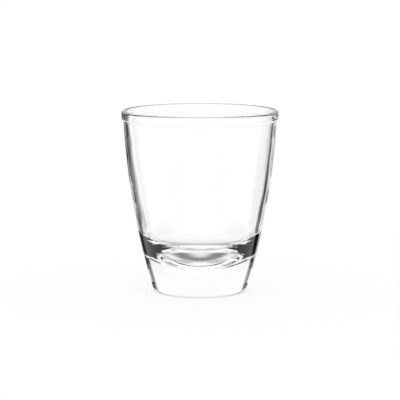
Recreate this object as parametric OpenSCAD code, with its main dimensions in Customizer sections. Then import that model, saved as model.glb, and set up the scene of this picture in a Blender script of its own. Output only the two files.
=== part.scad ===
// Cortado glass: a small tapered tumbler with a lip around its rim and a heavy base.
// It is one casting of clear glass, so it is one solid: half its section, turned about Z.
// The origin is the centre of the ring that it rests on, and +Z points up out of the mouth.

/* [Outside] */
// Height from the resting ring to the top of the rim
height = 80; // [70:1:100]
// Outer diameter at the mouth, with the side carried up to the top and without the lip
mouth_d = 68; // [62:0.5:76]
// Outer diameter at the foot, with the side carried down to the resting plane
foot_d = 41.6; // [36:0.2:50]
// How far the side bows out from the straight line between foot and mouth
side_bow = 2.6; // [1:0.1:5]
// Radius of the heel, where the side turns under the base
heel_r = 2.2; // [1:0.1:3.5]

/* [Rim] */
// How far the lip around the rim stands out from the side
lip_proud = 0.7; // [0.3:0.1:1.2]
// Height of the lip, from its round underside to the top of the rim
lip_h = 4.2; // [3.4:0.1:6]
// Radius of the hollow that runs the lip into the side
neck_r = 2; // [0.5:0.5:4]

/* [Inside] */
// Thickness of the wall at the mouth
wall_top_t = 1.3; // [1:0.1:2]
// Thickness of the wall at the height of the floor, with the inside carried down to it
wall_low_t = 2.5; // [2:0.1:5]
// How far the inside bows out from the straight line between floor and mouth
inside_bow = 1.2; // [0.6:0.1:3]
// Thickness of the base, from the resting plane to the middle of the floor
base_t = 11.8; // [8:0.1:18]
// How far the dished floor would rise to meet the inside wall, without the corner between them
floor_rise = 12.4; // [1:0.2:13]
// Radius of the wide corner between floor and inside wall
corner_r = 14; // [8:0.5:16]

/* [Underside] */
// Diameter of the shallow dome under the base
punt_d = 32; // [24:0.5:34]
// Height of the dome above the resting plane
punt_h = 1.2; // [0.5:0.1:3]
// Radius of the edge between dome and resting ring
ring_r = 1; // [0.5:0.1:1.5]

/* [Hidden] */
$fn = 180;
glass_tint = [0.86, 0.93, 0.92, 0.45];
// How far a cut or a cutting outline runs past what it cuts
overrun = 1;

// The circle that bows out by bow between two points of the section, as [centre, radius]
function bowed(low, high, bow) =
    let (
        chord = high - low,
        r = chord * chord / (8 * bow) + bow / 2,
        inward = [-chord.y, chord.x] / norm(chord)
    )
    [(low + high) / 2 + inward * (r - bow), r];

// Where a circle's right side is at height z
function side_x(ring, z) = ring[0].x + sqrt(ring[1] ^ 2 - (z - ring[0].y) ^ 2);

// The lower or upper point that lies reach_a from point a and reach_b from point b
function meeting(a, reach_a, b, reach_b, upper) =
    let (
        gap = norm(b - a),
        along = (b - a) / gap,
        d = (gap ^ 2 + reach_a ^ 2 - reach_b ^ 2) / (2 * gap),
        h = sqrt(reach_a ^ 2 - d ^ 2),
        aside = [-along.y, along.x] * h,
        one = a + along * d + aside,
        two = a + along * d - aside
    )
    (one.y > two.y) == upper ? one : two;

// The point on a circle in the direction of another point
function towards(ring, p) = ring[0] + (p - ring[0]) * ring[1] / norm(p - ring[0]);

// A point moved on by a distance, straight away from another point
function beyond(from, p, distance) = p + (p - from) * distance / norm(p - from);

// The outer side, and the heel that rounds it into the resting plane
side = bowed([foot_d / 2, 0], [mouth_d / 2, height], side_bow);
heel_c = [side[0].x + sqrt((side[1] - heel_r) ^ 2 - (heel_r - side[0].y) ^ 2), heel_r];
heel_end = towards(side, heel_c);

// The inner side, the dished floor and the corner that rounds one into the other
inside_low = [side_x(side, base_t) - wall_low_t, base_t];
inside = bowed(inside_low, [mouth_d / 2 - wall_top_t, height], inside_bow);
floor_reach = side_x(inside, base_t + floor_rise);
floor_r = (floor_reach ^ 2 + floor_rise ^ 2) / (2 * floor_rise);
floor_dish = [[0, base_t + floor_r], floor_r];
corner_c = meeting(floor_dish[0], floor_r - corner_r, inside[0], inside[1] - corner_r, false);
corner_low = towards(floor_dish, corner_c);
corner_high = towards(inside, corner_c);

// The lip's round top, which touches the inner side, its round underside, and the hollow below
lip_r = (wall_top_t + lip_proud) / 2;
lip_z = height - lip_r;
lip_c = [inside[0].x + sqrt((inside[1] + lip_r) ^ 2 - (lip_z - inside[0].y) ^ 2), lip_z];
lip_end = towards(inside, lip_c);
under_c = [lip_c.x, height - lip_h + lip_r];
neck_c = meeting(under_c, lip_r + neck_r, side[0], side[1] + neck_r, false);
neck_end = beyond(neck_c, towards(side, neck_c), wall_top_t / 2);

// The dome under the base, and the edge that rounds it into the resting ring
punt_r = (punt_d ^ 2 / 4 + punt_h ^ 2) / (2 * punt_h);
punt_c = [0, punt_h - punt_r];
ring_c = [sqrt((punt_r + ring_r) ^ 2 - (ring_r - punt_c.y) ^ 2), ring_r];
ring_end = towards([punt_c, punt_r], ring_c);

module disc(ring) {
    translate(ring[0])
        circle(ring[1]);
}

// The cusp between the outline that bounds a corner and the circle that rounds it
module cusp(outline, centre, r) {
    difference() {
        polygon(outline);
        translate(centre)
            circle(r);
    }
}

// The part of a turned shape's half section between two heights
module band(low, high) {
    intersection() {
        translate([0, low])
            square([mouth_d, high - low]);
        children();
    }
}

module heel_cusp() {
    past = beyond(heel_c, heel_end, overrun);
    cusp([heel_c, [heel_c.x, -overrun], [past.x, -overrun], past], heel_c, heel_r);
}

module corner_cusp() {
    past_low = beyond(corner_c, corner_low, overrun);
    past_high = beyond(corner_c, corner_high, overrun);
    cusp([corner_c, past_low, [past_high.x, past_low.y], past_high], corner_c, corner_r);
}

// The whole half section without its cavity
module outside_section() {
    difference() {
        band(0, lip_end.y)
            disc(side);
        heel_cusp();
        punt_section();
    }
}

module cavity_section() {
    band(corner_high.y, height + overrun)
        disc(inside);
    difference() {
        band(0, corner_high.y)
            intersection() {
                disc(inside);
                disc(floor_dish);
            }
        corner_cusp();
    }
}

module punt_section() {
    disc([punt_c, punt_r]);
    cusp([ring_c, ring_end, [ring_end.x, -overrun], [ring_c.x, -overrun]], ring_c, ring_r);
}

module rim_section() {
    disc([lip_c, lip_r]);
    disc([under_c, lip_r]);
    translate([lip_c.x - lip_r, under_c.y])
        square([lip_r + lip_r, lip_c.y - under_c.y]);
    cusp([under_c, neck_end, neck_c], neck_c, neck_r);
}

module glass() {
    color(glass_tint)
        rotate_extrude()
            union() {
                difference() {
                    outside_section();
                    cavity_section();
                }
                rim_section();
            }
}

glass();
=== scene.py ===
import math

import bpy
import numpy as np
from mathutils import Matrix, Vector


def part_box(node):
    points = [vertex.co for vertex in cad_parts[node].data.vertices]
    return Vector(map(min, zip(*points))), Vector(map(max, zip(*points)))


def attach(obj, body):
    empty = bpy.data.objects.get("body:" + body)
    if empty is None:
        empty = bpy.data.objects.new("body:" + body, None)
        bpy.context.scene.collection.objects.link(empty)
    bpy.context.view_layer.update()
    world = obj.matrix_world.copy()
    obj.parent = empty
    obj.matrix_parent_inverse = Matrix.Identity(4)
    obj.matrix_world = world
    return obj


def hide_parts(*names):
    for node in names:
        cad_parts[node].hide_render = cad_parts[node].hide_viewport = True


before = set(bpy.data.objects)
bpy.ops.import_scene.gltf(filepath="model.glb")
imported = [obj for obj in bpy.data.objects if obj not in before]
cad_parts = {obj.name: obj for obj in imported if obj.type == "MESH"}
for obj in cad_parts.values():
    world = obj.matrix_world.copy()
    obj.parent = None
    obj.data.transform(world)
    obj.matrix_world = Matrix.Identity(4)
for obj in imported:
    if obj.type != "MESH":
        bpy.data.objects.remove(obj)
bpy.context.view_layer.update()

scene = bpy.context.scene
MM = 0.001
WHITE = (1, 1, 1, 1)

# Camera, in metres: 8.4 degrees above level, in front of the glass, looking at half its height
CAM_DIST = 0.735
CAM_PITCH = math.radians(8.4)
CAM_AIM = Vector((0, 0, 0.040))
CAM_LENS = 149.25
CAM_SENSOR = 36
CAM_REACH = 100

# How often light is followed on. A path that is cut off ends black. The two dark wedges beside the
# bowl's floor come mostly from the short limit on glossy bounces: with 6 or 8 they turn pale.
BOUNCES = 16
GLOSSY_BOUNCES = 4

# Sizes of the section, in millimetres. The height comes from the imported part.
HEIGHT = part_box("glass")[1].z / MM
MOUTH_R = 34
FOOT_R = 20.8
SIDE_BOW = 2.6
HEEL_R = 2.2
LIP_R = 1
LIP_TALL = 4.2
NECK_R = 2
WALL_TOP = 1.3
WALL_LOW = 2.5
INSIDE_BOW = 1.2
BASE = 11.8
FLOOR_RISE = 12.4
CORNER_R = 14
PUNT_R = 16
PUNT_H = 1.2
RING_R = 1

# Mesh: how many steps each stretch of the section takes, and how many the turn about Z takes
STEPS = {
    "dome": 14,
    "ring": 5,
    "foot": 2,
    "heel": 10,
    "side": 44,
    "neck": 7,
    "lip underside": 8,
    "lip side": 3,
    "lip top": 24,
    "wall": 36,
    "corner": 32,
    "floor": 10,
}
SEGMENTS = 192
ON_AXIS = 1e-6

# Which way a stretch of the section turns about its centre
LEFT = 1
RIGHT = -1
STRAIGHT = 0

# Glass: its polish, its index, its surface waves (how fine, how deep in metres) and its faint grey
GLASS_ROUGH = 0.015
GLASS_IOR = 1.5
WAVE_SCALE = 55
WAVE_DETAIL = 1
WAVE_DEPTH = 0.00025
GLASS_GREY = (0.80, 0.82, 0.81, 1)
GREY_DENSITY = 1.2

# Cards of the studio, by what each darkens most in the picture, and one painted shadow: the shaded floor
# under the glass, which glass sees straight below. Each has four bounds in degrees around from straight
# ahead, and four in
# degrees up: where it starts, is full, stops being full and ends. Then how dark it is.
CARDS = {
    "right wall line": ((27, 31, 46, 52), (-22, -19, -8, -4), 0.98),
    "left wall line": ((-46, -38, -21, -15), (-25, -21, -8, -4), 0.9),
    "left end of the rim": ((-60, -52, -17, -12), (-9, -5, 2, 5), 0.9),
    "right end of the rim": ((27, 31, 46, 52), (-9, -5, 3, 7), 0.7),
    "right side of the grey patch": ((6, 11, 20, 25), (-50, -46, -24, -20), 0.4),
    "left side of the grey patch": ((-25, -20, -11, -6), (-50, -46, -24, -20), 0.4),
    "faint grey above the floor": ((-35, -25, 25, 35), (-52, -47, -36, -29), 0.08),
    # Painted shadow: the shaded floor under the glass, which glass sees straight below through the base.
    "painted floor shadow under the base": ((-200, -190, 190, 200), (-84, -66, -60, -40), 0.8),
    "left outline of the base": ((50, 57, 105, 114), (8, 12, 40, 50), 0.95),
    "right outline of the base": ((-114, -105, -57, -50), (8, 12, 40, 50), 0.98),
}

# Floor, in metres: half its width, its height just below the glass, and the distances from the middle
# between which it goes from dull white to mostly glowing white. FLOOR_DULL is the dull share beyond.
FLOOR_SIDE = 30
FLOOR_Z = -0.00005
FLOOR_FADE = (0.0185, 0.0225)
FLOOR_DULL = 0.15


def make_camera():
    data = bpy.data.cameras.new("camera")
    data.lens = CAM_LENS
    data.sensor_width = CAM_SENSOR
    data.clip_end = CAM_REACH
    cam = bpy.data.objects.new("camera", data)
    back = Vector((0, -math.cos(CAM_PITCH), math.sin(CAM_PITCH)))
    cam.location = CAM_AIM + back * CAM_DIST
    cam.rotation_euler = (math.pi / 2 - CAM_PITCH, 0, 0)
    scene.collection.objects.link(cam)
    scene.camera = cam


def vec(x, z):
    return np.array((x, z), float)


def bowed(low, high, bow):
    """The circle that bows out by bow between two points of the section, as (centre, radius)."""
    chord = high - low
    r = chord @ chord / (8 * bow) + bow / 2
    inward = vec(-chord[1], chord[0]) / np.linalg.norm(chord)
    return (low + high) / 2 + inward * (r - bow), r


def side_x(circle, z):
    """Where a circle's right side is at height z."""
    centre, r = circle
    return centre[0] + math.sqrt(r ** 2 - (z - centre[1]) ** 2)


def meeting(a, reach_a, b, reach_b):
    """The lower point that lies reach_a from point a and reach_b from point b."""
    gap = np.linalg.norm(b - a)
    along = (b - a) / gap
    d = (gap ** 2 + reach_a ** 2 - reach_b ** 2) / (2 * gap)
    aside = vec(-along[1], along[0]) * math.sqrt(reach_a ** 2 - d ** 2)
    one, two = a + along * d + aside, a + along * d - aside
    return one if one[1] < two[1] else two


def towards(circle, p):
    """The point on a circle in the direction of another point."""
    centre, r = circle
    return centre + (p - centre) * r / np.linalg.norm(p - centre)


def dome_radius(reach, rise):
    """The radius of a circle that rises by rise over reach from its lowest or highest point."""
    return (reach ** 2 + rise ** 2) / (2 * rise)


def stretches():
    """The half section, from the top of the dome under the base to the floor, as stretches of an arc or
    a line: (centre, start, end, turn, steps)."""
    side = bowed(vec(FOOT_R, 0), vec(MOUTH_R, HEIGHT), SIDE_BOW)
    heel = vec(side_x((side[0], side[1] - HEEL_R), HEEL_R), HEEL_R)
    heel_end = towards(side, heel)

    inside = bowed(vec(side_x(side, BASE) - WALL_LOW, BASE), vec(MOUTH_R - WALL_TOP, HEIGHT), INSIDE_BOW)
    floor_r = dome_radius(side_x(inside, BASE + FLOOR_RISE), FLOOR_RISE)
    floor = (vec(0, BASE + floor_r), floor_r)
    corner = meeting(floor[0], floor_r - CORNER_R, inside[0], inside[1] - CORNER_R)
    corner_low = towards(floor, corner)
    corner_high = towards(inside, corner)

    lip_z = HEIGHT - LIP_R
    lip = (vec(side_x((inside[0], inside[1] + LIP_R), lip_z), lip_z), LIP_R)
    lip_end = towards(lip, inside[0])
    under = (vec(lip[0][0], HEIGHT - LIP_TALL + LIP_R), LIP_R)
    neck = meeting(under[0], LIP_R + NECK_R, side[0], side[1] + NECK_R)
    neck_low = towards(side, neck)
    neck_high = towards(under, neck)
    out = vec(LIP_R, 0)

    dome_r = dome_radius(PUNT_R, PUNT_H)
    dome = (vec(0, PUNT_H - dome_r), dome_r)
    ring = vec(side_x((dome[0], dome_r + RING_R), RING_R), RING_R)
    ring_end = towards(dome, ring)

    return [
        (dome[0], vec(0, PUNT_H), ring_end, RIGHT, STEPS["dome"]),
        (ring, ring_end, vec(ring[0], 0), LEFT, STEPS["ring"]),
        (None, vec(ring[0], 0), vec(heel[0], 0), STRAIGHT, STEPS["foot"]),
        (heel, vec(heel[0], 0), heel_end, LEFT, STEPS["heel"]),
        (side[0], heel_end, neck_low, LEFT, STEPS["side"]),
        (neck, neck_low, neck_high, RIGHT, STEPS["neck"]),
        (under[0], neck_high, under[0] + out, LEFT, STEPS["lip underside"]),
        (None, under[0] + out, lip[0] + out, STRAIGHT, STEPS["lip side"]),
        (lip[0], lip[0] + out, lip_end, LEFT, STEPS["lip top"]),
        (inside[0], lip_end, corner_high, RIGHT, STEPS["wall"]),
        (corner, corner_high, corner_low, RIGHT, STEPS["corner"]),
        (floor[0], corner_low, vec(0, BASE), RIGHT, STEPS["floor"]),
    ]


def stretch_points(centre, a, b, turn, steps):
    """The points of one stretch, without its end."""
    if turn == STRAIGHT:
        return [a + (b - a) * i / steps for i in range(steps)]
    r = np.linalg.norm(a - centre)
    t0 = math.atan2(a[1] - centre[1], a[0] - centre[0])
    t1 = math.atan2(b[1] - centre[1], b[0] - centre[0])
    if turn == LEFT and t1 < t0:
        t1 += 2 * math.pi
    if turn == RIGHT and t1 > t0:
        t1 -= 2 * math.pi
    angles = [t0 + (t1 - t0) * i / steps for i in range(steps)]
    return [centre + r * vec(math.cos(t), math.sin(t)) for t in angles]


def section():
    """The half section as [x, z] points in millimetres."""
    points = []
    for stretch in stretches():
        points += stretch_points(*stretch)
    points.append(vec(0, BASE))
    return points


def turned(name, points):
    """A closed smooth mesh: the section turned about Z. The first and last points lie on the axis."""
    verts, faces, rings = [], [], []
    for x, z in points:
        start = len(verts)
        if x < ON_AXIS:
            rings.append([start])
            verts.append((0, 0, z * MM))
            continue
        rings.append([start + i for i in range(SEGMENTS)])
        for i in range(SEGMENTS):
            t = 2 * math.pi * i / SEGMENTS
            verts.append((x * MM * math.cos(t), x * MM * math.sin(t), z * MM))
    for a, b in zip(rings, rings[1:]):
        for i in range(SEGMENTS):
            j = (i + 1) % SEGMENTS
            if len(a) == 1:
                faces.append((a[0], b[j], b[i]))
            elif len(b) == 1:
                faces.append((a[i], a[j], b[0]))
            else:
                faces.append((a[i], a[j], b[j], b[i]))
    mesh = bpy.data.meshes.new(name)
    mesh.from_pydata(verts, [], faces)
    mesh.polygons.foreach_set("use_smooth", [True] * len(mesh.polygons))
    mesh.update()
    obj = bpy.data.objects.new(name, mesh)
    scene.collection.objects.link(obj)
    return obj


def glass_material():
    """Clear glass, faintly grey where it is thick, with the slow unevenness that pressing leaves."""
    mat = bpy.data.materials.new("clear_glass")
    mat.use_nodes = True
    tree = mat.node_tree
    shader = tree.nodes["Principled BSDF"]
    shader.inputs["Base Color"].default_value = WHITE
    shader.inputs["Roughness"].default_value = GLASS_ROUGH
    shader.inputs["IOR"].default_value = GLASS_IOR
    shader.inputs["Transmission Weight"].default_value = 1

    place = tree.nodes.new("ShaderNodeTexCoord")
    noise = tree.nodes.new("ShaderNodeTexNoise")
    noise.inputs["Scale"].default_value = WAVE_SCALE
    noise.inputs["Detail"].default_value = WAVE_DETAIL
    tree.links.new(place.outputs["Object"], noise.inputs["Vector"])
    wave = tree.nodes.new("ShaderNodeBump")
    wave.inputs["Strength"].default_value = 1
    wave.inputs["Distance"].default_value = WAVE_DEPTH
    tree.links.new(noise.outputs["Fac"], wave.inputs["Height"])
    tree.links.new(wave.outputs["Normal"], shader.inputs["Normal"])

    absorb = tree.nodes.new("ShaderNodeVolumeAbsorption")
    absorb.inputs["Color"].default_value = GLASS_GREY
    absorb.inputs["Density"].default_value = GREY_DENSITY
    tree.links.new(absorb.outputs[0], tree.nodes["Material Output"].inputs["Volume"])
    return mat


class Maths:
    """Short names for maths nodes in one node tree."""

    def __init__(self, tree):
        self.tree = tree

    def put(self, socket, value):
        if isinstance(value, (int, float)):
            socket.default_value = value
        else:
            self.tree.links.new(value, socket)

    def op(self, kind, a, b=0.0):
        node = self.tree.nodes.new("ShaderNodeMath")
        node.operation = kind
        self.put(node.inputs[0], a)
        self.put(node.inputs[1], b)
        return node.outputs[0]

    def smooth(self, value, start, end, low=0.0, high=1.0):
        """Goes softly from low to high as value goes from start to end."""
        node = self.tree.nodes.new("ShaderNodeMapRange")
        node.interpolation_type = "SMOOTHSTEP"
        self.put(node.inputs["Value"], value)
        node.inputs["From Min"].default_value = start
        node.inputs["From Max"].default_value = end
        node.inputs["To Min"].default_value = low
        node.inputs["To Max"].default_value = high
        return node.outputs["Result"]

    def window(self, value, start, full, fade, end):
        """1 between full and fade, 0 before start and after end."""
        return self.op("MULTIPLY", self.smooth(value, start, full), self.smooth(value, fade, end, 1, 0))

    def through_glass(self):
        """1 for light that glass has reflected or bent, 0 for all other light."""
        path = self.tree.nodes.new("ShaderNodeLightPath")
        return self.op("MAXIMUM", path.outputs["Is Glossy Ray"], path.outputs["Is Transmission Ray"])


def floor_material():
    """White, dull under the foot and mostly glowing beyond it, where it takes only a faint shadow.
    Glass looks through it at the studio's cards and, straight down, at a painted shadow of the floor."""
    mat = bpy.data.materials.new("studio_floor")
    mat.use_nodes = True
    tree = mat.node_tree
    tree.nodes.remove(tree.nodes["Principled BSDF"])
    m = Maths(tree)
    place = tree.nodes.new("ShaderNodeNewGeometry")
    reach = tree.nodes.new("ShaderNodeVectorMath")
    reach.operation = "LENGTH"
    tree.links.new(place.outputs["Position"], reach.inputs[0])
    share = m.smooth(reach.outputs["Value"], *FLOOR_FADE, 1, FLOOR_DULL)

    dull = tree.nodes.new("ShaderNodeBsdfDiffuse")
    tree.links.new(share, dull.inputs["Color"])
    glow = tree.nodes.new("ShaderNodeEmission")
    tree.links.new(m.op("SUBTRACT", 1, share), glow.inputs["Strength"])
    both = tree.nodes.new("ShaderNodeAddShader")
    tree.links.new(dull.outputs[0], both.inputs[0])
    tree.links.new(glow.outputs[0], both.inputs[1])

    clear = tree.nodes.new("ShaderNodeBsdfTransparent")
    mix = tree.nodes.new("ShaderNodeMixShader")
    tree.links.new(m.through_glass(), mix.inputs[0])
    tree.links.new(both.outputs[0], mix.inputs[1])
    tree.links.new(clear.outputs[0], mix.inputs[2])
    tree.links.new(mix.outputs[0], tree.nodes["Material Output"].inputs["Surface"])
    return mat


def make_world():
    """White all round. Only what glass reflects or bends meets the soft dark cards around the set and,
    straight below, a painted shadow of the floor under the glass.
    """
    world = bpy.data.worlds.new("studio")
    scene.world = world
    world.use_nodes = True
    tree = world.node_tree
    m = Maths(tree)
    coord = tree.nodes.new("ShaderNodeTexCoord")
    parts = tree.nodes.new("ShaderNodeSeparateXYZ")
    tree.links.new(coord.outputs["Generated"], parts.inputs[0])
    x, y, z = parts.outputs
    around = m.op("DEGREES", m.op("ARCTAN2", x, y))
    up = m.op("DEGREES", m.op("ARCSINE", z))
    seen = 1
    for az, el, dark in CARDS.values():
        card = m.op("MULTIPLY", m.window(around, *az), m.window(up, *el))
        seen = m.op("MULTIPLY", seen, m.op("SUBTRACT", 1, m.op("MULTIPLY", card, dark)))
    shiny = m.through_glass()
    strength = m.op("ADD", m.op("MULTIPLY", seen, shiny), m.op("SUBTRACT", 1, shiny))
    back = tree.nodes["Background"]
    back.inputs["Color"].default_value = WHITE
    tree.links.new(strength, back.inputs["Strength"])


def make_floor():
    mesh = bpy.data.meshes.new("studio_floor")
    corners = [(-1, -1), (1, -1), (1, 1), (-1, 1)]
    mesh.from_pydata([(x * FLOOR_SIDE, y * FLOOR_SIDE, FLOOR_Z) for x, y in corners], [], [(0, 1, 2, 3)])
    mesh.materials.append(floor_material())
    floor = bpy.data.objects.new("studio_floor", mesh)
    scene.collection.objects.link(floor)


make_camera()
scene.view_settings.view_transform = "Standard"
scene.cycles.max_bounces = BOUNCES
scene.cycles.transmission_bounces = BOUNCES
scene.cycles.glossy_bounces = GLOSSY_BOUNCES
make_floor()

glass = turned("glass_body", section())
glass.data.materials.append(glass_material())
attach(glass, "root")
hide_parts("glass")

make_world()
